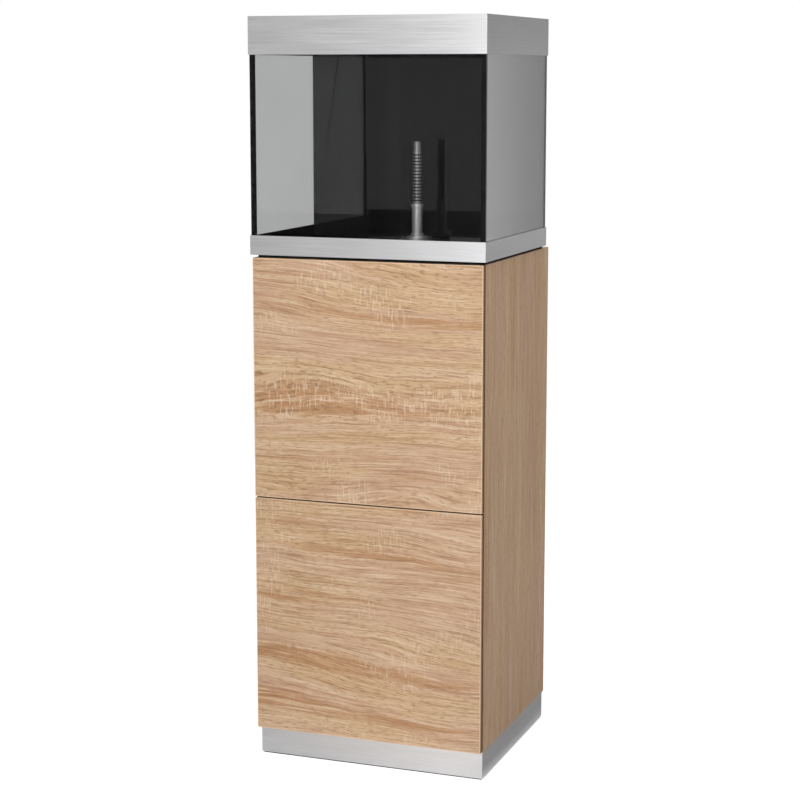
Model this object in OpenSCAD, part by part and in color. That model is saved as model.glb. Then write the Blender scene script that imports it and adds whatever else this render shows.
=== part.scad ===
// Aquarium on a tall two-door stand. Millimetres, +Z up.
// The origin is on the floor, under the middle of the whole object. The doors face -Y.

/* [Overall] */
// Width of the hood and of the lower tank trim
hood_w = 510; // [460:5:560]
// Depth of the hood and of the lower tank trim
hood_d = 427; // [400:1:440]
// Width of the cabinet and of its doors
cabinet_w = 500; // [450:5:550]
// Depth of the cabinet with its doors
cabinet_d = 462; // [450:1:480]
// Height of the cabinet's top above the floor
cabinet_h = 1070; // [1000:5:1150]
// Height of the hood's top above the floor
total_h = 1560; // [1540:5:1600]

/* [Cabinet] */
// Height of the plinth with its floor strip
plinth_h = 60; // [50:1:80]
// Thickness of the side, bottom and middle panels
board = 19; // [18:1:22]
// Thickness of the top panel that carries the tank
top_board = 22; // [20:1:28]
// Thickness of the doors
door_t = 16; // [16:0.5:18]
// Gap between a closed door and the panels behind it
door_gap = 3; // [3:0.5:4]
// Gap between the two doors, and under the lower one
door_split = 3; // [2.5:0.5:4]
// Thickness of the back panel
back_t = 8; // [5:1:10]

/* [Tank] */
// Thickness of the wall panes
glass_t = 6; // [5:1:8]
// Thickness of the floor pane
floor_glass_t = 8; // [6:1:10]
// Thickness of the foam mat under the tank
mat_t = 6; // [4:1:8]
// Height of the aluminium trim round the tank's foot
trim_h = 40; // [30:1:50]
// Thickness of the trim's sheet
trim_t = 2; // [1.5:0.5:3]
// Height of the wall panes
pane_h = 436; // [400:1:440]
// Width of the pipe shaft in the rear left corner
shaft_w = 130; // [110:1:160]
// Distance from the front pane to the shaft's front pane
shaft_front = 312; // [300:1:330]

/* [Hood] */
// Height of the hood
hood_h = 77; // [70:1:90]
// Thickness of the hood's aluminium sheet
hood_t = 1.5; // [1.2:0.1:1.6]
// Thickness of the lid, the feeding flap and the rear cover
lid_t = 4; // [4:0.5:5]

/* [Fittings] */
// Outer diameter of the intake strainer
strainer_d = 20; // [16:1:22]
// Outer diameter of the collar that holds the strainer
collar_d = 26; // [24:1:28]
// Outer diameter of a hose tail
tail_d = 16; // [12:1:18]

/* [Hidden] */

$fn = 48;
// How far a cutter runs past the face that it cuts.
over = 1;
// Radial clearance of a pin that turns or slides in its bore.
run_gap = 0.05;
half = 0.5;

// Planes of the whole object.
front_y = -cabinet_d * half;
back_y = cabinet_d * half;
side_x = cabinet_w * half;
inner_x = side_x - board;
carcass_y = front_y + door_t + door_gap;

// Doors.
door_back_y = front_y + door_t;
door_h = (cabinet_h - plinth_h - 2 * door_split) * half;
lower_z = plinth_h + door_split;
upper_z = lower_z + door_h + door_split;
middle_z = upper_z - door_split * half - board * half;

// Door hinges. The pin stands inside the cup, near the door's left edge.
pin_edge = 7.5;
pin_depth = 6;
pin_x = -side_x + pin_edge;
pin_y = front_y + pin_depth;
pin_r = 1.5;
knuckle_r = 2.5;
knuckle_h = 9;
cheek_t = 3;
cheek_mid = 6.7;
pin_len = 2 * cheek_mid + cheek_t;
cup_r = 17.5;
cup_wall = 0.8;
cup_x = -side_x + 3 + cup_r;
cup_floor_y = front_y + 2.25;
cup_flange_t = 0.8;
hinge_inset = 92;
hinge_zs = [lower_z + hinge_inset, lower_z + door_h - hinge_inset,
    upper_z + hinge_inset, upper_z + door_h - hinge_inset];
arm_t = 3;
arm_x = -inner_x + 1;
arm_w = 12;
arm_back_y = carcass_y + 62;
plate_front_y = carcass_y + 22;
plate_w = 48;
plate_h = 16;
wing_y = plate_front_y + 14;
wing_d = 18;
wing_screw_y = wing_y + wing_d * half;
wing_screw_dz = 16;
arm_screw_y = arm_back_y - 12;

// Screws: the back panel's have heads that lie flush in it.
screw_r = 2;
screw_head_r = 4;
screw_head_t = 1.5;
screw_len = back_t + 16;
back_screw_xs = [-inner_x + 14, 0, inner_x - 14];
back_screw_zs = [plinth_h + board * half, middle_z + board * half, cabinet_h - top_board * half];

// Push latches, near the free edge of each door.
latch_x = inner_x - 40;
latch_size = [18, 64, 14];
plunger_r = 4;
plunger_len = 52;
latch_zs = [middle_z - latch_size[2] * half, cabinet_h - top_board - latch_size[2] * half];
strike_r = 11;
strike_t = 1;

// Plinth.
seal_t = 3;
plinth_board = 16;
plinth_x = side_x - 1;
plinth_back_y = back_y - 9;

// Shelf in the upper compartment.
shelf_z = 806;
shelf_t = 16;
shelf_front_y = carcass_y + 34;
shelf_depth = 300;
shelf_pin_r = 2.5;
shelf_pin_reach = 10;
shelf_pin_ys = [shelf_front_y + 40, shelf_front_y + shelf_depth - 40];

// Tank.
glass_x = hood_w * half - trim_t;
glass_front_y = front_y + trim_t;
glass_back_y = front_y + hood_d - trim_t;
glass_z = cabinet_h + mat_t;
pane_z = glass_z + floor_glass_t;
pane_top_z = pane_z + pane_h;
seam = 1;
tank_x = glass_x - glass_t;
tank_front_y = glass_front_y + glass_t;
tank_back_y = glass_back_y - glass_t;
shaft_t = 5;
shaft_y = tank_front_y + shaft_front;
shaft_x = -tank_x + shaft_w;
shaft_top_z = pane_top_z - 4;
bead = 5;

// Pipe fittings: [x, y] of each bulkhead.
intake_at = [-11, front_y + 338];
return_at = [-tank_x + 62, (shaft_y + tank_back_y) * half + 3];
thread_r = 14;
flange_r = 22;
flange_t = 10;
gasket_t = 2;
base_z = pane_z + gasket_t + flange_t;
nut_t = 10;
nut_r = 23;
tail_len = 40;
pipe_r = 10;
pipe_wall = 2;
panel_hole_r = 30;
collar_top_z = pane_z + 82;
seat_h = 30;
strainer_top_z = pane_z + 216;
slot_pitch = 7;
slot_count = 15;
elbow_r = 18;
nozzle_z = pane_top_z - 21;
riser_top_z = nozzle_z - elbow_r;

// Hood.
hood_back_y = front_y + hood_d;
hood_z = total_h - hood_h;
hood_in_x = hood_w * half - hood_t;
hood_in_front_y = front_y + hood_t;
hood_in_back_y = hood_back_y - hood_t;
liner_w = 14;
liner_t = 3;
lid_z = total_h - 4 - lid_t;
hinge_y = front_y + 272;
hinge_z = lid_z + lid_t * half;
lid_pin_r = 1.5;
barrel_r = 3.4;
barrel_x = hood_in_x - 16;
block_x = barrel_x + 5.5;
lid_gap = 1;
flap_x = 70;
flap_w = 120;
flap_d = 74;
flap_hinge_y = front_y + 104;
flap_front_y = flap_hinge_y - flap_d;
flap_pin_r = 1;
flap_barrel_r = 2;
flap_rear_gap = 1;
flap_pin_reach = 8;
led_y = front_y + 140;
led_w = 40;
led_h = 14;
led_z = pane_top_z + 14;
led_x = hood_in_x - liner_w - 6;
lens_t = 3;

wood = [0.80, 0.67, 0.54];
board_dark = [0.55, 0.45, 0.36];
aluminium = [0.80, 0.80, 0.81];
clear = [0.75, 0.82, 0.84, 0.35];
black = [0.05, 0.05, 0.055];
grey_plastic = [0.45, 0.46, 0.47];

// A box between two corners.
module between(low, high) {
    translate(low) cube(high - low);
}

// A rectangular ring between two boxes in plan, from z0 to z1.
module ring(outer_low, outer_high, wall, z0, z1) {
    difference() {
        between([outer_low[0], outer_low[1], z0], [outer_high[0], outer_high[1], z1]);
        between([outer_low[0] + wall, outer_low[1] + wall, z0 - over],
            [outer_high[0] - wall, outer_high[1] - wall, z1 + over]);
    }
}

// A cylinder along +Y from a point.
module rod_y(at, r, length) {
    translate(at) rotate([-90, 0, 0]) cylinder(r = r, h = length);
}

// A cylinder along +X from a point.
module rod_x(at, r, length) {
    translate(at) rotate([0, 90, 0]) cylinder(r = r, h = length);
}

// ---- Plinth ----

module floor_seals() {
    color(black) {
        inset = 3;
        w = plinth_board - 2 * inset;
        for (y = [carcass_y + inset, plinth_back_y - inset - w])
            between([-plinth_x + inset, y, 0], [plinth_x - inset, y + w, seal_t]);
        for (x = [-plinth_x + inset, plinth_x - inset - w])
            between([x, carcass_y + inset + w, 0], [x + w, plinth_back_y - inset - w, seal_t]);
    }
}

module plinth_rail(y) {
    color(aluminium)
        between([-plinth_x, y, seal_t], [plinth_x, y + plinth_board, plinth_h]);
}

module plinth_front() { plinth_rail(carcass_y); }

module plinth_back() { plinth_rail(plinth_back_y - plinth_board); }

module plinth_end(x) {
    color(aluminium)
        between([x, carcass_y + plinth_board, seal_t],
            [x + plinth_board, plinth_back_y - plinth_board, plinth_h]);
}

module plinth_left() { plinth_end(-plinth_x); }

module plinth_right() { plinth_end(plinth_x - plinth_board); }

// ---- Cabinet ----

// A level panel between the sides, with the back panel's screw holes in its rear edge.
module drilled_panel(z0, t) {
    difference() {
        between([-inner_x, carcass_y, z0], [inner_x, back_y - back_t, z0 + t]);
        for (x = back_screw_xs)
            rod_y([x, back_y - screw_len, z0 + t * half], screw_r, screw_len);
    }
}

module bottom_panel() {
    color(wood)
        drilled_panel(plinth_h, board);
}

// A side panel, with the holes for the shelf pins on its inner face.
module side_panel(x, inner_face) {
    color(wood) difference() {
        between([x, carcass_y, plinth_h], [x + board, back_y, cabinet_h]);
        for (y = shelf_pin_ys)
            rod_x([inner_face - shelf_pin_reach, y, shelf_z - shelf_pin_r], shelf_pin_r, 2 * shelf_pin_reach);
    }
}

module side_panel_left() { side_panel(-side_x, -inner_x); }

module side_panel_right() { side_panel(inner_x, inner_x); }

// The fixed shelf between the two doors, notched at the back for the hoses.
module middle_panel() {
    notch = [180, 70];
    color(wood) difference() {
        drilled_panel(middle_z, board);
        between([-notch[0] * half, back_y - back_t - notch[1], middle_z - over],
            [notch[0] * half, back_y - back_t + over, middle_z + board + over]);
    }
}

module top_panel() {
    z0 = cabinet_h - top_board;
    color(wood) difference() {
        drilled_panel(z0, top_board);
        for (at = [intake_at, return_at])
            translate([at[0], at[1], z0 - over]) cylinder(r = panel_hole_r, h = top_board + 2 * over);
    }
}

// The back panel, with a cut-out for cables and hoses in each compartment.
module back_panel() {
    hole = [140, 60];
    rise = 70;
    color(board_dark) difference() {
        between([-inner_x, back_y - back_t, plinth_h], [inner_x, back_y, cabinet_h]);
        for (z = [plinth_h + board + rise, middle_z + board + rise])
            between([-hole[0] * half, back_y - back_t - over, z],
                [hole[0] * half, back_y + over, z + hole[1]]);
        for (x = back_screw_xs, z = back_screw_zs) {
            rod_y([x, back_y - back_t - over, z], screw_r, back_t + 2 * over);
            rod_y([x, back_y - screw_head_t, z], screw_head_r, screw_head_t + over);
        }
    }
}

module back_screws() {
    color("silver")
        for (x = back_screw_xs, z = back_screw_zs) {
            rod_y([x, back_y - screw_len, z], screw_r, screw_len - screw_head_t);
            rod_y([x, back_y - screw_head_t, z], screw_head_r, screw_head_t);
        }
}

module shelf() {
    side_gap = 1;
    color(wood)
        between([-inner_x + side_gap, shelf_front_y, shelf_z],
            [inner_x - side_gap, shelf_front_y + shelf_depth, shelf_z + shelf_t]);
}

// Four steel pins in the side panels, which the shelf lies on.
module shelf_pins() {
    color("silver")
        for (y = shelf_pin_ys, s = [-1, 1])
            rod_x([s * inner_x - shelf_pin_reach, y, shelf_z - shelf_pin_r], shelf_pin_r, 2 * shelf_pin_reach);
}

// ---- Door hinges ----

// Mounting plates on the left side panel, behind the arms.
module hinge_plates() {
    color("silver")
        for (z = hinge_zs)
            difference() {
                union() {
                    between([-inner_x, plate_front_y, z - plate_h * half],
                        [arm_x, plate_front_y + plate_w, z + plate_h * half]);
                    between([-inner_x, wing_y, z - plate_w * half],
                        [arm_x, wing_y + wing_d, z + plate_w * half]);
                }
                for (s = [-1, 1])
                    rod_x([-inner_x - over, wing_screw_y, z + s * wing_screw_dz], screw_r,
                        arm_x + inner_x + 2 * over);
            }
}

// Cranked arms that reach into the cups and carry the knuckles.
module hinge_arms() {
    web_front = 2.5;
    web_back = 1;
    color("silver")
        for (z = hinge_zs)
            difference() {
                union() {
                    translate([pin_x, pin_y, z - knuckle_h * half])
                        cylinder(r = knuckle_r, h = knuckle_h);
                    between([pin_x, pin_y - web_front, z - knuckle_h * half],
                        [arm_x + arm_t, pin_y + web_back, z + knuckle_h * half]);
                    between([arm_x, pin_y - web_front, z - knuckle_h * half],
                        [arm_x + arm_t, plate_front_y, z + knuckle_h * half]);
                    between([arm_x, plate_front_y - 6, z - arm_w * half],
                        [arm_x + arm_t, arm_back_y, z + arm_w * half]);
                }
                translate([pin_x, pin_y, z - arm_w])
                    cylinder(r = pin_r + run_gap, h = 2 * arm_w);
                rod_x([arm_x - over, arm_screw_y, z], screw_r, arm_t + 2 * over);
            }
}

// Screws through the arms and through the plates' wings.
module hinge_screws() {
    color("silver")
        for (z = hinge_zs) {
            rod_x([arm_x, arm_screw_y, z], screw_r, arm_t);
            rod_x([arm_x + arm_t, arm_screw_y, z], screw_head_r, screw_head_t);
            for (s = [-1, 1]) {
                rod_x([-inner_x, wing_screw_y, z + s * wing_screw_dz], screw_r, arm_x + inner_x);
                rod_x([arm_x, wing_screw_y, z + s * wing_screw_dz], screw_head_r, screw_head_t);
            }
        }
}

// The cups of one door: a round pot let into the door, with a flange on its inner face.
module hinge_cups(zs) {
    flange = [10, 56];
    color("silver")
        for (z = zs)
            difference() {
                union() {
                    rod_y([cup_x, cup_floor_y, z], cup_r, door_back_y - cup_floor_y);
                    between([cup_x + 4, door_back_y, z - flange[1] * half],
                        [cup_x + 4 + flange[0], door_back_y + cup_flange_t, z + flange[1] * half]);
                }
                difference() {
                    rod_y([cup_x, cup_floor_y + cup_wall, z], cup_r - cup_wall,
                        door_back_y - cup_floor_y + over);
                    for (s = [-1, 1])
                        between([pin_x - 2.2, cup_floor_y, z + s * cheek_mid - cheek_t * half],
                            [pin_x + 2.5, pin_y + 2.2, z + s * cheek_mid + cheek_t * half]);
                }
                translate([pin_x, pin_y, z - pin_len * half]) cylinder(r = pin_r, h = pin_len);
            }
}

module upper_hinge_cups() { hinge_cups([hinge_zs[2], hinge_zs[3]]); }

module lower_hinge_cups() { hinge_cups([hinge_zs[0], hinge_zs[1]]); }

// The pins of one door, held by the cheeks in its cups.
module hinge_pins(zs) {
    color("dimgray")
        for (z = zs)
            translate([pin_x, pin_y, z - pin_len * half]) cylinder(r = pin_r, h = pin_len);
}

module upper_hinge_pins() { hinge_pins([hinge_zs[2], hinge_zs[3]]); }

module lower_hinge_pins() { hinge_pins([hinge_zs[0], hinge_zs[1]]); }

// ---- Push latches ----

module latch_housings() {
    color(grey_plastic)
        for (z = latch_zs)
            difference() {
                translate([latch_x - latch_size[0] * half, carcass_y + 1, z - latch_size[2] * half])
                    cube(latch_size);
                rod_y([latch_x, carcass_y, z], plunger_r + run_gap, plunger_len + 4);
            }
}

// A plunger that touches the closed door and follows it out.
module latch_plunger(z) {
    color(black) rod_y([latch_x, door_back_y + strike_t, z], plunger_r, plunger_len);
}

module upper_latch_plunger() { latch_plunger(latch_zs[1]); }

module lower_latch_plunger() { latch_plunger(latch_zs[0]); }

module strike_plate(z) {
    color("silver") rod_y([latch_x, door_back_y, z], strike_r, strike_t);
}

module upper_strike_plate() { strike_plate(latch_zs[1]); }

module lower_strike_plate() { strike_plate(latch_zs[0]); }

// ---- Doors ----

// One door board, bored for its two cups.
module door(z0, zs) {
    color(wood) difference() {
        between([-side_x, front_y, z0], [side_x, door_back_y, z0 + door_h]);
        for (z = zs)
            rod_y([cup_x, cup_floor_y, z], cup_r, door_t);
    }
}

module upper_door() { door(upper_z, [hinge_zs[2], hinge_zs[3]]); }

module lower_door() { door(lower_z, [hinge_zs[0], hinge_zs[1]]); }

// ---- Tank ----

module tank_mat() {
    inset = 3;
    color(black) difference() {
        between([-side_x + inset, carcass_y + inset, cabinet_h],
            [side_x - inset, hood_back_y - inset, glass_z]);
        for (at = [intake_at, return_at])
            translate([at[0], at[1], cabinet_h - over]) cylinder(r = panel_hole_r, h = mat_t + 2 * over);
    }
}

module floor_glass() {
    color(clear) difference() {
        between([-glass_x, glass_front_y, glass_z], [glass_x, glass_back_y, pane_z]);
        for (at = [intake_at, return_at])
            translate([at[0], at[1], glass_z - over]) cylinder(r = thread_r, h = floor_glass_t + 2 * over);
    }
}

module front_glass() {
    color(clear)
        between([-glass_x, glass_front_y, pane_z], [glass_x, tank_front_y, pane_top_z]);
}

module back_glass() {
    color(black)
        between([-glass_x, tank_back_y, pane_z], [glass_x, glass_back_y, pane_top_z]);
}

module side_glass(x) {
    color(clear)
        between([x, tank_front_y + seam, pane_z], [x + glass_t, tank_back_y - seam, pane_top_z]);
}

module left_glass() { side_glass(-glass_x); }

module right_glass() { side_glass(tank_x); }

// One corner joint: the layer between two panes and the bead inside the corner.
module corner_seam(mirrored_x, y_layer, y_bead) {
    x0 = glass_x * mirrored_x;
    x1 = tank_x * mirrored_x;
    x2 = (tank_x - bead) * mirrored_x;
    translate([0, 0, pane_z]) linear_extrude(height = shaft_top_z - pane_z)
        polygon([[x0, y_layer], [x2, y_layer], [x1, y_bead], [x1, y_layer + sign(y_bead - y_layer) * seam],
            [x0, y_layer + sign(y_bead - y_layer) * seam]]);
}

module silicone_seams() {
    color(black) {
        for (s = [-1, 1]) {
            corner_seam(s, tank_front_y, tank_front_y + bead + seam);
            corner_seam(s, tank_back_y, tank_back_y - bead - seam);
        }
    }
}

module bottom_trim() {
    color(aluminium)
        ring([-hood_w * half, front_y], [hood_w * half, hood_back_y], trim_t, glass_z, glass_z + trim_h);
}

// The shaft's front pane, with a hole for the nozzle between two rows of overflow slots.
module shaft_front_glass() {
    slot = [4, 26];
    pitch = 10;
    color(black) difference() {
        between([-tank_x, shaft_y, pane_z], [shaft_x, shaft_y + shaft_t, shaft_top_z]);
        for (i = [0:3], s = [-1, 1])
            translate([return_at[0] + s * (20 + i * pitch), 0, 0])
                between([-slot[0] * half, shaft_y - over, shaft_top_z - slot[1]],
                    [slot[0] * half, shaft_y + shaft_t + over, shaft_top_z + over]);
        rod_y([return_at[0], shaft_y - over, nozzle_z], pipe_r, shaft_t + 2 * over);
    }
}

module shaft_side_glass() {
    color(black)
        between([shaft_x - shaft_t, shaft_y + shaft_t, pane_z], [shaft_x, tank_back_y, shaft_top_z]);
}

// ---- Pipe fittings ----

// Flange, threaded body and hose tail in one moulding, bored through.
module bulkhead(at) {
    tail_bottom = glass_z - nut_t - tail_len;
    wall = 2;
    color(grey_plastic) translate([at[0], at[1], 0]) difference() {
        union() {
            translate([0, 0, pane_z + gasket_t]) cylinder(r = flange_r, h = flange_t);
            translate([0, 0, glass_z - nut_t]) cylinder(r = thread_r, h = nut_t + floor_glass_t + gasket_t);
            translate([0, 0, tail_bottom]) cylinder(d = tail_d, h = tail_len);
        }
        translate([0, 0, tail_bottom - over])
            cylinder(d = tail_d - 2 * wall, h = base_z - tail_bottom + 2 * over);
    }
}

module intake_bulkhead() { bulkhead(intake_at); }

module return_bulkhead() { bulkhead(return_at); }

module bulkhead_gaskets() {
    color(black)
        for (at = [intake_at, return_at])
            translate([at[0], at[1], pane_z]) difference() {
                cylinder(r = flange_r - 1, h = gasket_t);
                translate([0, 0, -over]) cylinder(r = thread_r, h = gasket_t + 2 * over);
            }
}

module bulkhead_locknuts() {
    color(grey_plastic)
        for (at = [intake_at, return_at])
            translate([at[0], at[1], glass_z - nut_t]) difference() {
                cylinder(r = nut_r, h = nut_t, $fn = 8);
                translate([0, 0, -over]) cylinder(r = thread_r, h = nut_t + 2 * over);
            }
}

// The collar that stands on the intake's flange and grips the strainer.
module intake_collar() {
    h = collar_top_z - base_z;
    lip_h = 8;
    foot_h = 6;
    color(grey_plastic) translate([intake_at[0], intake_at[1], base_z]) difference() {
        union() {
            cylinder(d = collar_d - 3, h = h - lip_h);
            translate([0, 0, h - lip_h]) cylinder(d = collar_d, h = lip_h);
            cylinder(d = collar_d + 2, h = foot_h);
        }
        translate([0, 0, -over]) cylinder(d = strainer_d - 6, h = h);
        translate([0, 0, seat_h]) cylinder(d = strainer_d, h = h);
    }
}

// A tube with ring slots: ribs round a bored core, closed at its tip.
module intake_strainer() {
    r = strainer_d * half;
    core_r = r - 2;
    z0 = base_z + seat_h;
    slots_z = collar_top_z + 6;
    slots_h = slot_pitch * slot_count;
    rib = 4;
    color(grey_plastic) translate([intake_at[0], intake_at[1], 0]) difference() {
        union() {
            translate([0, 0, z0]) cylinder(r = r, h = slots_z - z0);
            translate([0, 0, slots_z]) cylinder(r = core_r, h = slots_h);
            for (i = [1:slot_count])
                translate([0, 0, slots_z + i * slot_pitch - rib]) cylinder(r = r, h = rib);
            translate([0, 0, slots_z + slots_h]) cylinder(r = r - 1, h = strainer_top_z - slots_z - slots_h);
        }
        translate([0, 0, z0 - over]) cylinder(r = r - 4, h = strainer_top_z - z0 - 3);
    }
}

// The return pipe inside the shaft.
module return_riser() {
    color(grey_plastic) translate([return_at[0], return_at[1], base_z]) difference() {
        cylinder(r = pipe_r, h = riser_top_z - base_z);
        translate([0, 0, -over]) cylinder(r = pipe_r - pipe_wall, h = riser_top_z);
    }
}

// The bend on the riser, with a nozzle that passes forward through the shaft's front pane.
module return_elbow() {
    nozzle = return_at[1] - elbow_r - shaft_y + 12;
    color(grey_plastic) translate([return_at[0], return_at[1], riser_top_z]) {
        translate([0, -elbow_r, 0]) rotate([90, 0, 90]) rotate_extrude(angle = 90)
            translate([elbow_r, 0]) difference() {
                circle(r = pipe_r);
                circle(r = pipe_r - pipe_wall);
            }
        translate([0, -elbow_r, elbow_r]) rotate([90, 0, 0]) difference() {
            cylinder(r = pipe_r, h = nozzle);
            translate([0, 0, -over]) cylinder(r = pipe_r - pipe_wall, h = nozzle + 2 * over);
        }
    }
}

// ---- Hood ----

module hood_frame() {
    color(aluminium)
        ring([-hood_w * half, front_y], [hood_w * half, hood_back_y], hood_t, hood_z, total_h);
}

// A channel-shaped ring inside the frame. It rests on the panes and carries the lids.
module hood_liner() {
    low = [-hood_in_x, hood_in_front_y];
    high = [hood_in_x, hood_in_back_y];
    color(black) {
        ring(low, high, liner_w, pane_top_z, pane_top_z + liner_t);
        ring(low, high, liner_t, pane_top_z + liner_t, lid_z - liner_t);
        ring(low, high, liner_w - 4, lid_z - liner_t, lid_z);
    }
}

// The fixed rear cover, with a cable notch at its back edge and a row of vents.
module hood_rear_cover() {
    notch = [90, 24];
    vent = [5, 46];
    color(black) difference() {
        between([-hood_in_x + 1, hinge_y + barrel_r + 0.8, lid_z],
            [hood_in_x - 1, hood_in_back_y - 0.5, lid_z + lid_t]);
        between([-notch[0] * half, hood_in_back_y - notch[1], lid_z - over],
            [notch[0] * half, hood_in_back_y + over, lid_z + lid_t + over]);
        for (i = [0:9], s = [-1, 1])
            between([s * (80 + 12 * i) - vent[0] * half, hinge_y + 50, lid_z - over],
                [s * (80 + 12 * i) + vent[0] * half, hinge_y + 50 + vent[1], lid_z + lid_t + over]);
    }
}

// Two bearing blocks on the liner, at the ends of the lid's barrel.
module hinge_blocks() {
    size = [10, 8, total_h - 1 - lid_z];
    color(black)
        for (s = [-1, 1])
            difference() {
                translate([s * block_x - size[0] * half, hinge_y - size[1] * half, lid_z]) cube(size);
                rod_x([s * block_x - size[0] * half - over, hinge_y, hinge_z], lid_pin_r, size[0] + 2 * over);
            }
}

module lid_pins() {
    inside = 14;
    outside = 10;
    color("silver")
        for (s = [-1, 1])
            rod_x([s > 0 ? barrel_x - inside : -barrel_x - outside, hinge_y, hinge_z], lid_pin_r,
                inside + outside);
}

// The front lid, with its barrel, its pin bores, the feeding opening and the ledge that the
// closed flap rests on.
module service_lid() {
    reach = 15;
    wing = 14;
    wing_gap = 7.5;
    ledge_t = 1.5;
    ledge = 5;
    plate = 8;
    color(aluminium) difference() {
        union() {
            between([-barrel_x, hood_in_front_y + lid_gap, lid_z], [barrel_x, hinge_y, lid_z + lid_t]);
            for (s = [-1, 1])
                translate([s * (barrel_x + wing * half) - wing * half, hood_in_front_y + lid_gap, lid_z])
                    cube([wing, hinge_y - wing_gap - hood_in_front_y - lid_gap, lid_t]);
            rod_x([-barrel_x, hinge_y, hinge_z], barrel_r, 2 * barrel_x);
            between([flap_x - plate, flap_front_y - plate, lid_z - ledge_t],
                [flap_x + flap_w + plate, flap_front_y, lid_z]);
            between([flap_x, flap_front_y, lid_z - ledge_t], [flap_x + flap_w, flap_front_y + ledge, lid_z]);
        }
        for (s = [-1, 1])
            rod_x([s > 0 ? barrel_x - reach : -barrel_x - over, hinge_y, hinge_z],
                lid_pin_r + run_gap, reach + over);
        between([flap_x - lid_gap, flap_front_y - lid_gap, lid_z],
            [flap_x + flap_w + lid_gap, flap_hinge_y + flap_barrel_r + flap_rear_gap, lid_z + lid_t + over]);
        rod_x([flap_x - flap_pin_reach, flap_hinge_y, hinge_z], flap_pin_r, flap_w + 2 * flap_pin_reach);
    }
}

module lid_grip() {
    size = [80, 10, total_h - lid_z - lid_t];
    color(black)
        translate([-20 - size[0] * half, front_y + 22, lid_z + lid_t]) cube(size);
}

module feed_flap() {
    dip_r = 9;
    color(black) difference() {
        union() {
            between([flap_x, flap_front_y, lid_z], [flap_x + flap_w, flap_hinge_y, lid_z + lid_t]);
            rod_x([flap_x, flap_hinge_y, hinge_z], flap_barrel_r, flap_w);
        }
        rod_x([flap_x - over, flap_hinge_y, hinge_z], flap_pin_r + run_gap, flap_w + 2 * over);
        translate([flap_x + flap_w * half, flap_front_y, lid_z + lid_t * half])
            cylinder(r = dip_r, h = lid_t);
    }
}

module feed_flap_pin() {
    color("silver") rod_x([flap_x - flap_pin_reach, flap_hinge_y, hinge_z], flap_pin_r, flap_w + 2 * flap_pin_reach);
}

// A finned aluminium profile across the hood.
module led_bar() {
    base_t = 6;
    edge = 3;
    groove = 3;
    pitch = 5;
    color("silver") difference() {
        between([-led_x, led_y - led_w * half, led_z], [led_x, led_y + led_w * half, led_z + led_h]);
        for (i = [0:6])
            translate([-led_x - over, led_y - led_w * half + edge + i * pitch, led_z + base_t])
                cube([2 * (led_x + over), groove, led_h]);
    }
}

module led_lens() {
    rim = 4;
    color("white")
        between([-led_x, led_y - led_w * half + rim, led_z - lens_t], [led_x, led_y + led_w * half - rim, led_z]);
}

// End caps that hang the light from the liner's walls.
module led_end_caps() {
    rim = 2;
    color(black)
        for (s = [-1, 1])
            translate([s > 0 ? led_x : -hood_in_x + liner_t, led_y - led_w * half - rim, led_z - lens_t])
                cube([hood_in_x - liner_t - led_x, led_w + 2 * rim, led_h + lens_t]);
}

floor_seals();
plinth_front();
plinth_back();
plinth_left();
plinth_right();
bottom_panel();
side_panel_left();
side_panel_right();
middle_panel();
top_panel();
back_panel();
back_screws();
shelf();
shelf_pins();
hinge_plates();
hinge_arms();
hinge_screws();
latch_housings();
upper_latch_plunger();
lower_latch_plunger();
upper_door();
upper_hinge_cups();
upper_hinge_pins();
upper_strike_plate();
lower_door();
lower_hinge_cups();
lower_hinge_pins();
lower_strike_plate();
tank_mat();
floor_glass();
front_glass();
back_glass();
left_glass();
right_glass();
silicone_seams();
bottom_trim();
shaft_front_glass();
shaft_side_glass();
intake_bulkhead();
intake_collar();
intake_strainer();
return_bulkhead();
return_riser();
return_elbow();
bulkhead_gaskets();
bulkhead_locknuts();
hood_frame();
hood_liner();
hood_rear_cover();
hinge_blocks();
lid_pins();
service_lid();
lid_grip();
feed_flap();
feed_flap_pin();
led_bar();
led_lens();
led_end_caps();
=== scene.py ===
import math

import bpy
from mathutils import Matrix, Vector

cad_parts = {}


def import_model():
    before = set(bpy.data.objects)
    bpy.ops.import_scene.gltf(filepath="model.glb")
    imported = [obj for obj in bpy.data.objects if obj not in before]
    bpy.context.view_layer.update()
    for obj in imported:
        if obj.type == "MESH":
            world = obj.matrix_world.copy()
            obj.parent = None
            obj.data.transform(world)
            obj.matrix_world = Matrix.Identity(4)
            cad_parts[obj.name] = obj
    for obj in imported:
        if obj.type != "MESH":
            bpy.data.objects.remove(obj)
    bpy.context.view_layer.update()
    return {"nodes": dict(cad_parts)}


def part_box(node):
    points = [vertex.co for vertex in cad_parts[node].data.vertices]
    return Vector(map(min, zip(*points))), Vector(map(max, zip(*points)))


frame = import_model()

MM = 0.001
NODES = frame["nodes"]
scene = bpy.context.scene


# ---- Small helpers for colours and node trees ----

def srgb(r, g, b):
    """A screen colour from 0 to 255 as the linear colour that shaders use."""
    def linear(v):
        v /= 255.0
        return v / 12.92 if v <= 0.04045 else ((v + 0.055) / 1.055) ** 2.4
    return (linear(r), linear(g), linear(b), 1.0)


def grey(v):
    return (v, v, v, 1.0)


def shaded(colour, factor):
    """A linear colour made darker or lighter, at most white."""
    return tuple(min(1.0, c * factor) for c in colour[:3]) + (1.0,)


def new_material(name):
    m = bpy.data.materials.new(name)
    m.use_nodes = True
    nt = m.node_tree
    nt.nodes.clear()
    out = nt.nodes.new("ShaderNodeOutputMaterial")
    bsdf = nt.nodes.new("ShaderNodeBsdfPrincipled")
    nt.links.new(bsdf.outputs[0], out.inputs["Surface"])
    return m, nt, bsdf


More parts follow.
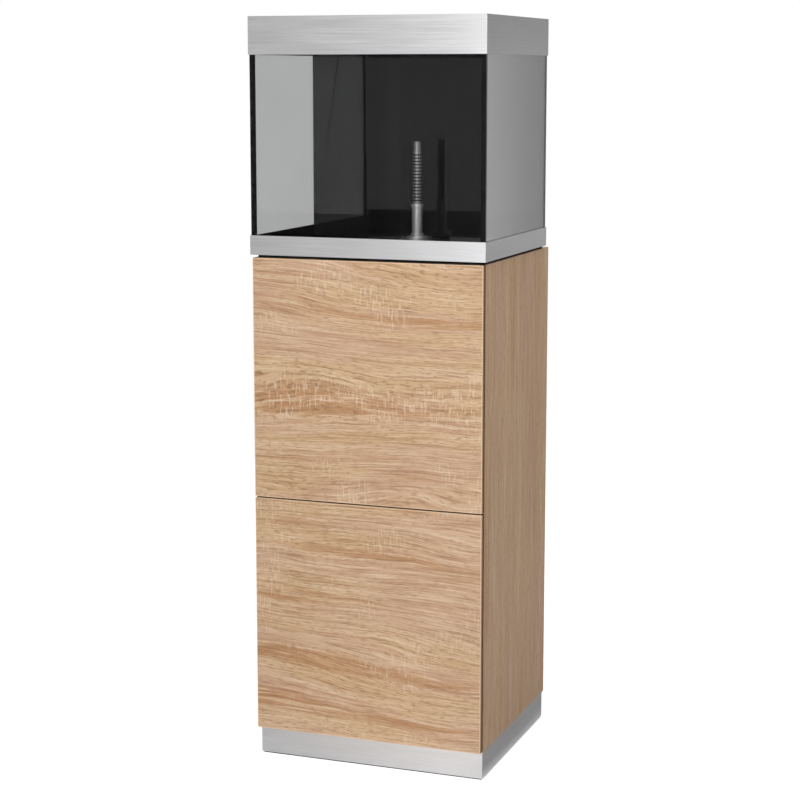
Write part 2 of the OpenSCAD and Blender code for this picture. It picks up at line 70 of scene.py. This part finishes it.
def shader_of(m):
    """The node tree, the shader and the base colour so far of a finished material."""
    nt = m.node_tree
    bsdf = next(n for n in nt.nodes if n.type == "BSDF_PRINCIPLED")
    return nt, bsdf, bsdf.inputs["Base Color"].links[0].from_socket


def put(nt, socket, value):
    """Links a socket, or sets a number, vector or colour."""
    if isinstance(value, bpy.types.NodeSocket):
        nt.links.new(value, socket)
    elif value is not None:
        socket.default_value = value


def math_node(nt, op, a, b=None):
    n = nt.nodes.new("ShaderNodeMath")
    n.operation = op
    put(nt, n.inputs[0], a)
    put(nt, n.inputs[1], b)
    return n.outputs[0]


def times(nt, a, b):
    return math_node(nt, "MULTIPLY", a, b)


def plus(nt, a, b):
    return math_node(nt, "ADD", a, b)


def minus(nt, a, b):
    return math_node(nt, "SUBTRACT", a, b)


def spread(nt, value, low, high, to_low=0.0, to_high=1.0):
    """value from low..high to to_low..to_high, smooth and clamped."""
    n = nt.nodes.new("ShaderNodeMapRange")
    n.interpolation_type = "SMOOTHSTEP"
    for key, v in (("Value", value), ("From Min", low), ("From Max", high),
                   ("To Min", to_low), ("To Max", to_high)):
        put(nt, n.inputs[key], v)
    return n.outputs["Result"]


def ramp(nt, value, stops):
    """A grey that follows value: stops are pairs of a place from 0 to 1 and the brightness there."""
    n = nt.nodes.new("ShaderNodeValToRGB")
    put(nt, n.inputs[0], value)
    els = n.color_ramp.elements
    while len(els) < len(stops):
        els.new(0.5)
    for e, (at, brightness) in zip(els, stops):
        e.position = at
        e.color = grey(brightness)
    return n.outputs["Color"]


def noise(nt, vector, scale=1.0, detail=3.0, roughness=0.55):
    n = nt.nodes.new("ShaderNodeTexNoise")
    put(nt, n.inputs["Vector"], vector)
    n.inputs["Scale"].default_value = scale
    n.inputs["Detail"].default_value = detail
    n.inputs["Roughness"].default_value = roughness
    return n.outputs[0]


def object_xyz(nt):
    """Position in the row frame, in metres: the vector, and its x, y and z."""
    tc = nt.nodes.new("ShaderNodeTexCoord")
    s = nt.nodes.new("ShaderNodeSeparateXYZ")
    nt.links.new(tc.outputs["Object"], s.inputs[0])
    return tc.outputs["Object"], s.outputs


def object_normal(nt):
    """How far the surface looks along x, y and z, either way."""
    tc = nt.nodes.new("ShaderNodeTexCoord")
    s = nt.nodes.new("ShaderNodeSeparateXYZ")
    nt.links.new(tc.outputs["Normal"], s.inputs[0])
    return [math_node(nt, "ABSOLUTE", o) for o in s.outputs]


def vector_of(nt, x=0.0, y=0.0, z=0.0):
    n = nt.nodes.new("ShaderNodeCombineXYZ")
    for socket, value in zip(n.inputs, (x, y, z)):
        put(nt, socket, value)
    return n.outputs[0]


def mix(nt, factor, a, b, blend="MIX"):
    n = nt.nodes.new("ShaderNodeMix")
    n.data_type = "RGBA"
    n.blend_type = blend
    put(nt, n.inputs["Factor"], factor)
    put(nt, n.inputs["A"], a)
    put(nt, n.inputs["B"], b)
    return n.outputs["Result"]


def bump(nt, bsdf, height, strength, distance):
    n = nt.nodes.new("ShaderNodeBump")
    n.inputs["Strength"].default_value = strength
    n.inputs["Distance"].default_value = distance
    put(nt, n.inputs["Height"], height)
    nt.links.new(n.outputs[0], bsdf.inputs["Normal"])


# ---- Wood ----

OAK_GROUND, OAK_WARM_GROUND = srgb(205, 168, 138), srgb(206, 171, 133)
OAK_DARK_BAND, OAK_LIGHT_BAND = srgb(186, 140, 99), srgb(222, 192, 160)
OAK_DARK_RING, OAK_LIGHT_RING = srgb(168, 122, 82), srgb(225, 196, 164)
OAK_DARK_FIBRE, OAK_LIGHT_FIBRE = srgb(156, 114, 79), srgb(232, 206, 176)
OAK_PORE, OAK_SAW_MARK = srgb(126, 86, 54), srgb(238, 216, 188)
PANEL_EDGE = srgb(196, 160, 126)
# The doors' top and bottom edges are near-black brown: painted shade for the shade that falls on them.
DOOR_SIDE_EDGE, DOOR_LEVEL_PAINTED_SHADE = srgb(150, 108, 72), srgb(48, 31, 19)
# A pale painted highlight for the doors' front edges, and a dark brown painted shade for the gap behind the
# doors.
DOOR_RIM_PAINTED_HIGHLIGHT, DOOR_GAP_PAINTED_SHADE = srgb(238, 206, 172), srgb(58, 34, 16)
BOARD_BROWN, BOARD_LIGHT_BROWN, BOARD_SPECK = srgb(155, 124, 94), srgb(162, 130, 99), srgb(120, 90, 66)

SLOW_WARP, WAVE_WARP = 0.17, 0.024      # how far the grain's lines are pushed sideways, in metres

# Where the painted highlight lies, and the painted shade of the gap behind the door:
HIGHLIGHT_RIM_DEPTH, HIGHLIGHT_RIM_WIDTH = 4.0 * MM, 2.4 * MM      # from the door's face, and inwards from its outline
GAP_SHADE_DEPTH, GAP_SHADE_WIDTH = 8.0 * MM, 2.0 * MM          # from the door's back, and inwards from its outline


def oak(name, grain, seed, contrast=1.0, saw=1.0, tone=0.93, swirl=1.0):
    """Sawn oak decor. grain is the axis that the grain follows, "x" or "z" on a board that stands upright, or
    "x_flat" on one that lies level. Its lines follow a warped field, so that they close into long arches.
    contrast, saw and swirl scale the dark lines, the pale saw marks and the warp; tone darkens the whole."""
    m, nt, bsdf = new_material(name)
    _, (x, y, z) = object_xyz(nt)
    along, across = {"x": (x, z), "z": (z, y), "x_flat": (x, y)}[grain]

    def layer(warped, long_scale, fine_scale, shift, detail=2.0, roughness=0.5):
        place = vector_of(nt, times(nt, along, long_scale), times(nt, warped, fine_scale), seed + shift)
        return noise(nt, place, detail=detail, roughness=roughness)

    def push(value, reach):
        return times(nt, minus(nt, value, 0.5), reach * swirl)

    def streaks(colour, base, value, low, high, strength):
        return mix(nt, spread(nt, value, low, high, 0.0, strength), base, colour)

    # The field: slow warps push the straight lines into arches and long waves.
    slow = layer(across, 1.3, 4.4, 0.0, 1.0, 0.4)
    wave = layer(across, 5.5, 11.0, 3.1)
    field = plus(nt, across, plus(nt, push(slow, SLOW_WARP), push(wave, WAVE_WARP)))
    # What follows the field, from broad to fine.
    bands = layer(field, 1.1, 21.0, 19.0)
    tint = layer(field, 1.8, 13.0, 11.0, 1.0)
    growth = layer(field, 2.0, 105.0, 7.7, 3.0, 0.6)
    fibre = layer(field, 9.0, 330.0, 1.3, 3.0, 0.7)
    pores = layer(field, 62.0, 520.0, 9.2, 1.0, 0.5)
    # The saw marks lie across the grain, in patches.
    patch = layer(across, 6.5, 9.5, 13.0, 1.0)
    strokes = layer(across, 230.0, 34.0, 17.0, 2.0, 0.6)
    crumbs = layer(across, 260.0, 420.0, 23.0, 1.0)

    body = mix(nt, spread(nt, tint, 0.40, 0.60), OAK_GROUND, OAK_WARM_GROUND)
    body = streaks(OAK_DARK_BAND, body, bands, 0.46, 0.32, 0.80 * contrast)
    body = streaks(OAK_LIGHT_BAND, body, bands, 0.55, 0.72, 0.65)
    body = streaks(OAK_DARK_RING, body, growth, 0.45, 0.30, 0.42 * contrast)
    body = streaks(OAK_LIGHT_RING, body, growth, 0.55, 0.70, 0.45 * contrast)
    body = streaks(OAK_DARK_FIBRE, body, fibre, 0.48, 0.33, 0.62 * contrast)
    body = streaks(OAK_LIGHT_FIBRE, body, fibre, 0.52, 0.66, 0.60 * contrast)
    dark = times(nt, spread(nt, pores, 0.57, 0.66), spread(nt, tint, 0.30, 0.60, 0.5, 1.0))
    body = mix(nt, times(nt, dark, 0.42 * contrast), body, OAK_PORE)
    rows = times(nt, spread(nt, patch, 0.50, 0.62), spread(nt, strokes, 0.53, 0.63))
    marks = times(nt, rows, spread(nt, crumbs, 0.35, 0.55, 0.45, 1.0))
    body = mix(nt, times(nt, marks, 0.50 * saw), body, OAK_SAW_MARK)
    body = mix(nt, 1.0, body, grey(tone), "MULTIPLY")
    put(nt, bsdf.inputs["Base Color"], body)
    put(nt, bsdf.inputs["Roughness"], plus(nt, 0.50, times(nt, plus(nt, dark, marks), 0.12)))
    bsdf.inputs["Specular IOR Level"].default_value = 0.35
    height = plus(nt, times(nt, marks, 0.7), minus(nt, times(nt, fibre, 0.35), dark))
    bump(nt, bsdf, height, 0.25, 0.4 * MM)
    return m


def edge_banded(m, axis, colour):
    """Adds an edge colour to the faces of m that look along the axis: a plain edge band, and on the doors'
    top and bottom edges painted shade.
    """
    nt, bsdf, body = shader_of(m)
    facing = dict(zip("xyz", object_normal(nt)))[axis]
    band = spread(nt, facing, 0.6, 0.85, 0.0, 0.85)
    put(nt, bsdf.inputs["Base Color"], mix(nt, band, body, colour))
    return m


def door_painted_rims(m, node):
    """The door's rim: a painted highlight along the front edge, and behind it painted shade, dark brown, for
    the shadow gap that runs round the door's back."""
    nt, bsdf, body = shader_of(m)
    low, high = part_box(node)
    _, (x, y, z) = object_xyz(nt)

    def to_outline(value, a, b):
        """How far inside the door's box, along one axis."""
        off_middle = math_node(nt, "ABSOLUTE", minus(nt, value, (a + b) / 2))
        return minus(nt, (b - a) / 2, off_middle)

    inwards = math_node(nt, "MINIMUM", to_outline(x, low[0], high[0]), to_outline(z, low[2], high[2]))
    # Painted highlight along the front edge.
    front = spread(nt, y, low[1] + HIGHLIGHT_RIM_DEPTH - 1.5 * MM, low[1] + HIGHLIGHT_RIM_DEPTH, 1.0, 0.0)
    pale = times(nt, front, spread(nt, inwards, HIGHLIGHT_RIM_WIDTH / 2, HIGHLIGHT_RIM_WIDTH, 0.6, 0.0))
    # Painted shade, dark brown, round the door's back where the gap lies.
    rear = spread(nt, y, high[1] - GAP_SHADE_DEPTH, high[1] - GAP_SHADE_DEPTH + 3.0 * MM, 0.0, 0.95)
    rear = times(nt, rear, spread(nt, inwards, GAP_SHADE_WIDTH / 2, GAP_SHADE_WIDTH, 1.0, 0.0))
    body = mix(nt, pale, body, DOOR_RIM_PAINTED_HIGHLIGHT)
    put(nt, bsdf.inputs["Base Color"], mix(nt, rear, body, DOOR_GAP_PAINTED_SHADE))
    return m


def door_front(node, seed, saw=1.0, swirl=1.0):
    """One door: level grain, its own edge colours, with painted shade on its top and bottom edges, and its
    rims of painted highlight and painted shade.
    """
    m = oak("oak_" + node, "x", seed, contrast=1.1, saw=saw, swirl=swirl)
    # The top and bottom edges get painted shade.
    m = edge_banded(edge_banded(m, "x", DOOR_SIDE_EDGE), "z", DOOR_LEVEL_PAINTED_SHADE)
    return door_painted_rims(m, node)


def back_board():
    """Thin printed fibreboard: brown, with a fine speckle."""
    m, nt, bsdf = new_material("back_board")
    pos, _ = object_xyz(nt)
    speck = noise(nt, pos, 900.0, 2.0, 0.7)
    cloud = noise(nt, pos, 9.0, 3.0, 0.5)
    body = mix(nt, spread(nt, cloud, 0.35, 0.65), BOARD_BROWN, BOARD_LIGHT_BROWN)
    body = mix(nt, spread(nt, speck, 0.55, 0.72, 0.0, 0.5), body, BOARD_SPECK)
    put(nt, bsdf.inputs["Base Color"], body)
    put(nt, bsdf.inputs["Roughness"], spread(nt, speck, 0.3, 0.7, 0.62, 0.78))
    bump(nt, bsdf, speck, 0.12, 0.3 * MM)
    return m


# ---- Metals ----

ALUMINIUM = (0.80, 0.80, 0.81, 1.0)
ALUMINIUM_ROUGHNESS = 0.34
LED_ALUMINIUM = (0.55, 0.56, 0.58, 1.0)
STEEL_DARK, STEEL_LIGHT = (0.50, 0.49, 0.47, 1.0), (0.66, 0.65, 0.63, 1.0)
STEEL_CLOUD = (0.42, 0.41, 0.40, 1.0)


def brushed(name, upright):
    """Brushed aluminium, its brush lines level. upright sheets have them one above the other; on the lid they
    lie one behind the other."""
    m, nt, bsdf = new_material(name)
    _, (x, y, z) = object_xyz(nt)
    if upright:
        along, across = plus(nt, x, y), z
    else:
        along, across = x, plus(nt, y, z)

    def strokes(long_scale, fine_scale, shift, roughness=0.55):
        place = vector_of(nt, times(nt, along, long_scale), times(nt, across, fine_scale), shift)
        return noise(nt, place, detail=2.0, roughness=roughness)

    hair = strokes(26.0, 2600.0, 0.0, 0.7)
    streak = strokes(5.0, 520.0, 4.0)
    cloud = strokes(3.0, 9.0, 8.0)
    value = plus(nt, plus(nt, times(nt, hair, 0.16), times(nt, streak, 0.14)), times(nt, cloud, 0.05))
    body = mix(nt, spread(nt, value, 0.12, 0.24), shaded(ALUMINIUM, 0.90), shaded(ALUMINIUM, 1.07))
    put(nt, bsdf.inputs["Base Color"], body)
    bsdf.inputs["Metallic"].default_value = 1.0
    put(nt, bsdf.inputs["Roughness"],
        spread(nt, streak, 0.3, 0.7, ALUMINIUM_ROUGHNESS - 0.05, ALUMINIUM_ROUGHNESS + 0.06))
    bump(nt, bsdf, plus(nt, hair, times(nt, streak, 0.6)), 0.10, 0.2 * MM)
    return m


def anodised(name, colour):
    """Bead-blasted, anodised aluminium."""
    m, nt, bsdf = new_material(name)
    pos, _ = object_xyz(nt)
    grain = noise(nt, pos, 2200.0, 2.0, 0.6)
    put(nt, bsdf.inputs["Base Color"], mix(nt, grain, colour, shaded(colour, 1.12)))
    bsdf.inputs["Metallic"].default_value = 1.0
    put(nt, bsdf.inputs["Roughness"], spread(nt, grain, 0.3, 0.7, 0.36, 0.46))
    bump(nt, bsdf, grain, 0.10, 0.2 * MM)
    return m


def nickel_steel():
    """Nickel-plated pressed steel of the hinges, pins and screws."""
    m, nt, bsdf = new_material("steel")
    pos, (x, y, z) = object_xyz(nt)
    draw = noise(nt, vector_of(nt, times(nt, x, 90.0), times(nt, y, 90.0), times(nt, z, 900.0)), detail=2.0)
    cloud = noise(nt, pos, 60.0, 2.0)
    body = mix(nt, spread(nt, draw, 0.3, 0.7), STEEL_DARK, STEEL_LIGHT)
    body = mix(nt, spread(nt, cloud, 0.5, 0.75, 0.0, 0.3), body, STEEL_CLOUD)
    put(nt, bsdf.inputs["Base Color"], body)
    bsdf.inputs["Metallic"].default_value = 1.0
    put(nt, bsdf.inputs["Roughness"], spread(nt, draw, 0.3, 0.7, 0.22, 0.34))
    bump(nt, bsdf, draw, 0.06, 0.2 * MM)
    return m


# ---- Glass, rubber and plastics ----

GLASS_IOR = 1.5
COATED_IOR = 1.2        # keeps the front pane's own mirror image weak, as in the photo
GLASS_TINT, GLASS_LIGHT_TINT = (0.915, 0.92, 0.92, 1.0), (0.935, 0.94, 0.94, 1.0)
# How deep the painted shade in the strainer's ring slots lies:
SLOT_SHADE_TOP, SLOT_SHADE_BOTTOM = 0.7 * MM, 1.9 * MM      # below the strainer's outer wall


def clear_glass(name, ior):
    m, nt, bsdf = new_material(name)
    pos, _ = object_xyz(nt)
    haze = noise(nt, pos, 5.0, 3.0)
    put(nt, bsdf.inputs["Base Color"], mix(nt, spread(nt, haze, 0.3, 0.7), GLASS_TINT, GLASS_LIGHT_TINT))
    bsdf.inputs["Transmission Weight"].default_value = 1.0
    bsdf.inputs["Roughness"].default_value = 0.0
    bsdf.inputs["IOR"].default_value = ior
    return m


def black_glass(name, level, specular):
    """Glass painted black behind. level is how much light the paint gives back, specular how strongly the
    pane mirrors."""
    m, nt, bsdf = new_material(name)
    pos, _ = object_xyz(nt)
    film = noise(nt, pos, 7.0, 4.0, 0.6)
    dust = noise(nt, pos, 1400.0, 1.0)
    body = mix(nt, spread(nt, film, 0.35, 0.7), grey(level * 0.85), grey(level * 1.15))
    body = mix(nt, spread(nt, dust, 0.70, 0.80, 0.0, 0.3), body, grey(0.03))
    put(nt, bsdf.inputs["Base Color"], body)
    put(nt, bsdf.inputs["Roughness"], spread(nt, film, 0.3, 0.7, 0.03, 0.05))
    bsdf.inputs["IOR"].default_value = GLASS_IOR
    bsdf.inputs["Specular IOR Level"].default_value = specular
    return m


def moulded(name, low, high, roughness, grain_scale, grain_depth, specular=0.5, flake=0.0):
    """Moulded plastic or rubber with a fine surface grain and a tone between low and high. flake is its share
    of metal flakes."""
    m, nt, bsdf = new_material(name)
    pos, _ = object_xyz(nt)
    grain = noise(nt, pos, grain_scale, 2.0, 0.6)
    tone = noise(nt, pos, 24.0, 3.0)
    put(nt, bsdf.inputs["Base Color"], mix(nt, spread(nt, tone, 0.3, 0.7), low, high))
    wear = plus(nt, times(nt, grain, 0.5), times(nt, tone, 0.5))
    put(nt, bsdf.inputs["Roughness"], spread(nt, wear, 0.3, 0.7, roughness - 0.06, roughness + 0.06))
    bsdf.inputs["Specular IOR Level"].default_value = specular
    bsdf.inputs["Metallic"].default_value = flake
    bump(nt, bsdf, grain, 0.20, grain_depth)
    return m


def strainer_plastic():
    """The strainer's grey plastic, with painted shade, near black, at the bottom of its ring slots."""
    m = moulded("strainer_plastic", grey(0.32), grey(0.38), 0.34, 900.0, 0.1 * MM, flake=0.8)
    nt, bsdf, body = shader_of(m)
    low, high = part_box("intake_strainer")
    _, (x, y, z) = object_xyz(nt)
    dx = minus(nt, x, (low[0] + high[0]) / 2)
    dy = minus(nt, y, (low[1] + high[1]) / 2)
    reach = math_node(nt, "SQRT", plus(nt, times(nt, dx, dx), times(nt, dy, dy)))
    wall = (high[0] - low[0]) / 2
    # Painted shade, near black, at the slot bottoms.
    slot = spread(nt, reach, wall - SLOT_SHADE_BOTTOM, wall - SLOT_SHADE_TOP, 1.0, 0.0)
    put(nt, bsdf.inputs["Base Color"], mix(nt, slot, body, grey(0.012)))
    return m


def foam():
    """Closed-cell foam mat: pitted and dull."""
    m, nt, bsdf = new_material("foam")
    pos, _ = object_xyz(nt)
    v = nt.nodes.new("ShaderNodeTexVoronoi")
    v.inputs["Scale"].default_value = 700.0
    nt.links.new(pos, v.inputs["Vector"])
    cells = v.outputs["Distance"]
    put(nt, bsdf.inputs["Base Color"], mix(nt, spread(nt, cells, 0.1, 0.6), grey(0.012), grey(0.035)))
    bsdf.inputs["Roughness"].default_value = 0.9
    bsdf.inputs["Specular IOR Level"].default_value = 0.2
    bump(nt, bsdf, cells, 0.5, 0.6 * MM)
    return m


def opal_lens():
    """The light's opal cover, with its fine lengthwise ribs."""
    m, nt, bsdf = new_material("lens")
    pos, (x, y, z) = object_xyz(nt)
    ribs = math_node(nt, "SINE", times(nt, y, 2400.0))
    cloud = noise(nt, pos, 40.0, 2.0)
    put(nt, bsdf.inputs["Base Color"], mix(nt, cloud, (0.80, 0.82, 0.84, 1.0), (0.90, 0.91, 0.92, 1.0)))
    bsdf.inputs["Roughness"].default_value = 0.28
    bump(nt, bsdf, ribs, 0.25, 0.3 * MM)
    return m


# ---- Which node wears what ----

def paint(material, *names):
    for name in names:
        for slot in NODES[name].material_slots:
            slot.material = material


def dress_wood():
    paint(door_front("upper_door", 2.0), "upper_door")
    paint(door_front("lower_door", 14.0, saw=0.7, swirl=0.75), "lower_door")
    # The sides' lighter tone, 0.985 against 0.93 on the doors and boards, is painted light on the side faces.
    side = oak("oak_sides", "z", 31.0, contrast=0.70, saw=0.10, tone=0.985, swirl=0.4)
    paint(edge_banded(side, "y", PANEL_EDGE), "side_panel_left", "side_panel_right")
    level = oak("oak_level", "x_flat", 47.0, contrast=0.6, saw=0.3)
    paint(edge_banded(level, "y", PANEL_EDGE), "top_panel", "middle_panel", "bottom_panel", "shelf")
    paint(back_board(), "back_panel")


def dress_metal():
    paint(brushed("brushed_aluminium", upright=True), "hood_frame", "bottom_trim",
          "plinth_front", "plinth_back", "plinth_left", "plinth_right")
    paint(brushed("brushed_lid", upright=False), "service_lid")
    paint(anodised("led_aluminium", LED_ALUMINIUM), "led_bar")
    paint(nickel_steel(), "back_screws", "shelf_pins", "hinge_plates", "hinge_arms", "hinge_screws",
          "upper_hinge_cups", "lower_hinge_cups", "upper_hinge_pins", "lower_hinge_pins",
          "upper_strike_plate", "lower_strike_plate", "lid_pins", "feed_flap_pin")


def dress_glass():
    paint(clear_glass("clear_glass", GLASS_IOR), "floor_glass", "left_glass", "right_glass")
    paint(clear_glass("coated_glass", COATED_IOR), "front_glass")
    paint(black_glass("black_glass", 0.018, 0.95), "back_glass")
    # The shaft's panes are darker, less mirroring copies of the back pane's black glass, deepest on the
    # shaft's side: painted shade.
    paint(black_glass("shaft_front_black_painted_shade", 0.012, 0.84), "shaft_front_glass")
    paint(black_glass("shaft_side_black_painted_shade", 0.004, 0.55), "shaft_side_glass")


def dress_soft_and_plastic():
    paint(moulded("silicone", grey(0.003), grey(0.005), 0.50, 300.0, 0.1 * MM, specular=0.12),
          "silicone_seams", "bulkhead_gaskets")
    paint(foam(), "tank_mat")
    paint(moulded("floor_seal", grey(0.018), grey(0.03), 0.75, 500.0, 0.4 * MM, specular=0.3), "floor_seals")
    black_plastic = moulded("black_plastic", (0.018, 0.018, 0.020, 1.0), (0.028, 0.028, 0.030, 1.0),
                            0.46, 1300.0, 0.2 * MM)
    paint(black_plastic, "hood_liner", "hood_rear_cover", "hinge_blocks", "lid_grip", "feed_flap",
          "led_end_caps", "upper_latch_plunger", "lower_latch_plunger")
    paint(moulded("light_grey_plastic", grey(0.70), grey(0.77), 0.36, 900.0, 0.1 * MM, flake=0.8),
          "intake_collar", "intake_bulkhead")
    paint(moulded("grey_plastic", grey(0.30), grey(0.36), 0.28, 900.0, 0.1 * MM),
          "return_bulkhead", "return_riser", "return_elbow", "bulkhead_locknuts", "latch_housings")
    paint(strainer_plastic(), "intake_strainer")
    paint(opal_lens(), "led_lens")


def dress():
    dress_wood()
    dress_metal()
    dress_glass()
    dress_soft_and_plastic()


# ---- Rounded edges ----

# How wide each node's edges are rounded, in millimetres, and the nodes that share that width.
BEVELS = {
    0.15: ("upper_hinge_cups", "lower_hinge_cups"),
    0.2: ("hinge_plates", "upper_strike_plate", "lower_strike_plate"),
    0.25: ("led_bar",),
    0.3: ("back_panel", "plinth_left", "plinth_right", "feed_flap", "hinge_arms", "intake_strainer",
          "back_screws", "hinge_screws"),
    0.35: ("hood_frame", "bottom_trim"),
    0.4: ("service_lid", "hood_rear_cover", "shaft_front_glass", "shaft_side_glass", "hood_liner",
          "return_riser", "shelf_pins"),
    0.5: ("top_panel", "middle_panel", "bottom_panel", "plinth_front", "plinth_back", "front_glass",
          "left_glass", "right_glass", "back_glass", "floor_seals"),
    0.6: ("side_panel_left", "side_panel_right", "shelf", "floor_glass", "tank_mat", "intake_collar",
          "hinge_blocks"),
    0.7: ("upper_door", "lower_door"),
    0.8: ("led_end_caps", "latch_housings", "bulkhead_locknuts", "upper_latch_plunger",
          "lower_latch_plunger"),
    1.0: ("lid_grip", "intake_bulkhead", "return_bulkhead"),
}
WELD_DISTANCE = 0.001 * MM
SHARP_FROM = math.radians(40)


def round_edges(o, width):
    """Rounds the edges with modifiers only; the node's own mesh stays as packed."""
    weld = o.modifiers.new("weld", "WELD")
    weld.merge_threshold = WELD_DISTANCE
    bevel = o.modifiers.new("bevel", "BEVEL")
    bevel.width = width
    bevel.segments = 2
    bevel.limit_method = "ANGLE"
    bevel.angle_limit = SHARP_FROM
    bevel.use_clamp_overlap = True
    bevel.harden_normals = False
    normals = o.modifiers.new("normals", "WEIGHTED_NORMAL")
    normals.keep_sharp = False
    for p in o.data.polygons:
        p.use_smooth = True


def soften():
    for width, names in BEVELS.items():
        for name in names:
            round_edges(NODES[name], width * MM)


# ---- Stage, light and camera ----

FLOOR_RADIUS = 3.2
FLOOR_GLOW = 0.55       # lifts the floor to the backdrop's white, for the camera only

# How much light the floor gives back to the object, by x in metres plus a half.
FLOOR_BOUNCE = [(0.0, 0.48), (0.10, 0.52), (0.68, 0.96), (0.745, 0.90), (0.775, 0.30), (1.0, 0.50)]

# The studio's brightness by direction: 0 is the back, 0.25 the left, 0.5 the front and 0.75 the right.
STUDIO = [(0.0, 0.62), (0.2, 0.50), (0.36, 0.35), (0.415, 0.30), (0.448, 0.90), (0.60, 0.85), (0.70, 0.75),
          (0.80, 0.35), (0.90, 0.10), (0.95, 0.08), (1.0, 0.62)]
# The same for the low band that the flat upright panes mirror.
MIRRORED_BAND = [(0.0, 0.59), (0.12, 0.57), (0.30, 0.30), (0.42, 0.24), (0.436, 0.24), (0.443, 0.235),
                 (0.47, 0.235), (0.75, 0.45), (0.93, 0.45), (0.9408, 0.30), (0.9485, 1.20), (0.956, 0.36),
                 (1.0, 0.62)]
# Where that band begins and ends, as the upward part of a direction.
BAND_BOTTOM, BAND_TOP = (-0.13, -0.10), (0.012, 0.035)

# Place and target in metres, width and height in metres, power in watts.
LIGHTS = {
    "top_light": ((0.3, -0.3, 4.4), (0, 0, 0), (4.5, 4.5), 52),
    "key_light": ((0.9, -2.4, 3.7), (0, 0, 0.6), (2.6, 2.0), 32),
    "front_box": ((0.42, -1.9, 1.15), (0.42, 0, 1.15), (1.14, 2.3), 11.8),
}

# The camera as fitted to the object's corners in the photo: metres and degrees.
CAMERA_AT = (1.44526, -3.91930, 1.44446)
CAMERA_TURN, CAMERA_TILT = 20.386, 8.962
CAMERA_LENS, CAMERA_SHIFT = 88.49, -0.02


def floor():
    """Pale paper. The camera sees it almost white. How much light the object gets from it
    depends on the place."""
    bpy.ops.mesh.primitive_circle_add(vertices=128, radius=FLOOR_RADIUS, fill_type="NGON", location=(0, 0, 0))
    o = bpy.context.object
    o.name = "floor"
    m, nt, bsdf = new_material("floor_paper")
    pos, (x, y, z) = object_xyz(nt)
    tone = noise(nt, pos, 2.0, 2.0)
    bounce = ramp(nt, plus(nt, x, 0.5), FLOOR_BOUNCE)
    seen = nt.nodes.new("ShaderNodeLightPath").outputs["Is Camera Ray"]
    paper = mix(nt, tone, grey(0.86), grey(0.88))
    put(nt, bsdf.inputs["Base Color"], mix(nt, seen, bounce, paper))
    bsdf.inputs["Emission Color"].default_value = (1, 1, 1, 1)
    put(nt, bsdf.inputs["Emission Strength"], times(nt, seen, FLOOR_GLOW))
    bsdf.inputs["Roughness"].default_value = 0.9
    bsdf.inputs["Specular IOR Level"].default_value = 0.1
    o.data.materials.append(m)


def world():
    """A soft studio all round, whose brightness changes with the direction. The camera sees plain white."""
    w = bpy.data.worlds.new("studio")
    scene.world = w
    w.use_nodes = True
    nt = w.node_tree
    nt.nodes.clear()
    tc = nt.nodes.new("ShaderNodeTexCoord")
    s = nt.nodes.new("ShaderNodeSeparateXYZ")
    nt.links.new(tc.outputs["Generated"], s.inputs[0])
    x, y, up = s.outputs
    turn = math_node(nt, "ARCTAN2", x, times(nt, y, -1.0))
    turn = plus(nt, math_node(nt, "DIVIDE", turn, 2 * math.pi), 0.5)
    in_band = times(nt, spread(nt, up, *BAND_BOTTOM), spread(nt, up, *BAND_TOP, 1.0, 0.0))
    level = mix(nt, in_band, ramp(nt, turn, STUDIO), ramp(nt, turn, MIRRORED_BAND))
    seen = nt.nodes.new("ShaderNodeLightPath").outputs["Is Camera Ray"]
    bg = nt.nodes.new("ShaderNodeBackground")
    put(nt, bg.inputs["Color"], mix(nt, seen, level, grey(1.0)))
    out = nt.nodes.new("ShaderNodeOutputWorld")
    nt.links.new(bg.outputs[0], out.inputs["Surface"])


def lights():
    for name, (at, target, size, watts) in LIGHTS.items():
        light = bpy.data.lights.new(name, "AREA")
        light.shape = "RECTANGLE"
        light.size, light.size_y = size
        light.energy = watts
        o = bpy.data.objects.new(name, light)
        o.location = at
        o.rotation_mode = "QUATERNION"
        o.rotation_quaternion = (Vector(target) - Vector(at)).to_track_quat("-Z", "Y")
        o.visible_camera = False
        scene.collection.objects.link(o)


def camera():
    data = bpy.data.cameras.new("camera")
    data.lens = CAMERA_LENS
    data.sensor_width = 36.0
    data.shift_y = CAMERA_SHIFT
    data.clip_start = 0.05
    data.clip_end = 100
    o = bpy.data.objects.new("camera", data)
    o.location = CAMERA_AT
    o.rotation_euler = (math.radians(90 - CAMERA_TILT), 0, math.radians(CAMERA_TURN))
    scene.collection.objects.link(o)
    scene.camera = o


dress()
soften()
floor()
world()
lights()
camera()
scene.view_settings.view_transform = "Standard"
scene.view_settings.look = "None"
